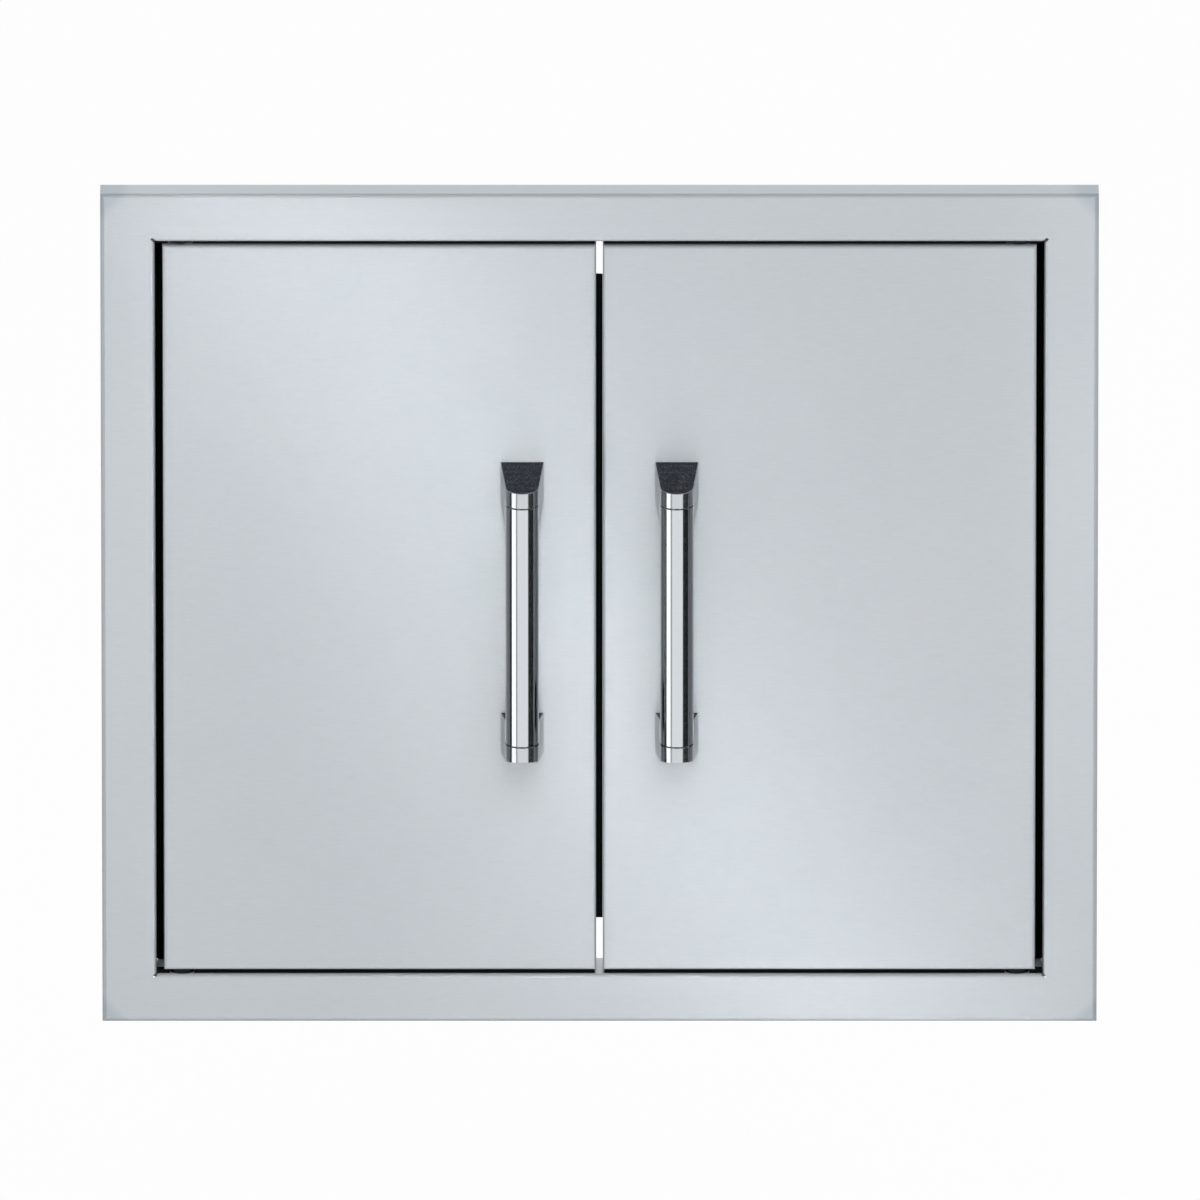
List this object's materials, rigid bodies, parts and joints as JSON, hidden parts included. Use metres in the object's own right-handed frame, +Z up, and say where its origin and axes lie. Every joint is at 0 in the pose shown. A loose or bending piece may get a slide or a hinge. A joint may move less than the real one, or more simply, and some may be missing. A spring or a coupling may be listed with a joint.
{
  "type": "double access door",
  "caption": "Built-in double access door for an outdoor kitchen: a folded face frame with two flush doors on pivot pins, bar handles and magnetic catches.",
  "frame": {"origin": "centre of the door opening, on the plane of the wall that the frame's rear lips bear on", "axes": "+X to the right as seen from the front, +Y into the wall, +Z up; the doors open towards -Y"},
  "size_m": [0.6604, 0.0885, 0.572],
  "materials": {
    "brushed_stainless": "horizontal brushed grain",
    "plain_steel": "plain rolled or turned, bright",
    "spring_wire": "drawn wire",
    "chrome": "mirror plated",
    "polished_tube": "polished with a fine grain",
    "dark_resin": "fine textured, dark slate",
    "black_polymer": "moulded, smooth",
    "ferrite": "sintered, matte",
    "black_rubber": "extruded, matte"
  },
  "bodies": {
    "frame": {"face_frame": "brushed_stainless", "left_sill_cleat": "plain_steel", "left_sill_bush": "black_polymer", "left_sill_catch_housing": "black_polymer", "left_sill_catch_magnet": "ferrite", "left_head_cleat": "plain_steel", "left_head_bush": "black_polymer", "left_head_catch_housing": "black_polymer", "left_head_catch_magnet": "ferrite", "right_sill_cleat": "plain_steel", "right_sill_bush": "black_polymer", "right_sill_catch_housing": "black_polymer", "right_sill_catch_magnet": "ferrite", "right_head_cleat": "plain_steel", "right_head_bush": "black_polymer", "right_head_catch_housing": "black_polymer", "right_head_catch_magnet": "ferrite", "catch_poles": "plain_steel", "catch_screws": "plain_steel"},
    "left_door": {"left_door_skin": "brushed_stainless", "left_door_liner": "brushed_stainless", "left_lower_pin": "plain_steel", "left_thrust_washer": "black_polymer", "left_pin_bracket": "plain_steel", "left_pin_spring": "spring_wire", "left_lower_strike": "plain_steel", "left_upper_strike": "plain_steel", "left_strike_screws": "plain_steel", "left_handle_tube": "polished_tube", "left_upper_post": "chrome", "left_lower_post": "chrome", "left_upper_end_cap": "dark_resin", "left_lower_end_cap": "dark_resin", "left_upper_infill": "dark_resin", "left_lower_infill": "dark_resin", "left_handle_screws": "plain_steel", "left_handle_washers": "plain_steel", "meeting_seal": "black_rubber"},
    "right_door": {"right_door_skin": "brushed_stainless", "right_door_liner": "brushed_stainless", "right_lower_pin": "plain_steel", "right_thrust_washer": "black_polymer", "right_pin_bracket": "plain_steel", "right_pin_spring": "spring_wire", "right_lower_strike": "plain_steel", "right_upper_strike": "plain_steel", "right_strike_screws": "plain_steel", "right_handle_tube": "polished_tube", "right_upper_post": "chrome", "right_lower_post": "chrome", "right_upper_end_cap": "dark_resin", "right_lower_end_cap": "dark_resin", "right_upper_infill": "dark_resin", "right_lower_infill": "dark_resin", "right_handle_screws": "plain_steel", "right_handle_washers": "plain_steel"},
    "left_pin": {"left_spring_pin": "plain_steel", "left_release_lever": "plain_steel"},
    "right_pin": {"right_spring_pin": "plain_steel", "right_release_lever": "plain_steel"}
  },
  "joints": [
    {"name": "left_door_hinge", "type": "hinge", "parent": "frame", "child": "left_door", "pos_m": [-0.27725, -0.0154, 0], "axis": [0, 0, -1], "range_deg": [0, 110]},
    {"name": "right_door_hinge", "type": "hinge", "parent": "frame", "child": "right_door", "pos_m": [0.27725, -0.0154, 0], "axis": [0, 0, 1], "range_deg": [0, 110]},
    {"name": "left_pin_slide", "type": "slide", "parent": "left_door", "child": "left_pin", "axis": [0, 0, -1], "range_m": [0, 0.0095], "stiffness_N_per_m": 800, "springref_m": -0.01, "deforming": ["left_pin_spring"]},
    {"name": "right_pin_slide", "type": "slide", "parent": "right_door", "child": "right_pin", "axis": [0, 0, -1], "range_m": [0, 0.0095], "stiffness_N_per_m": 800, "springref_m": -0.01, "deforming": ["right_pin_spring"]}
  ]
}
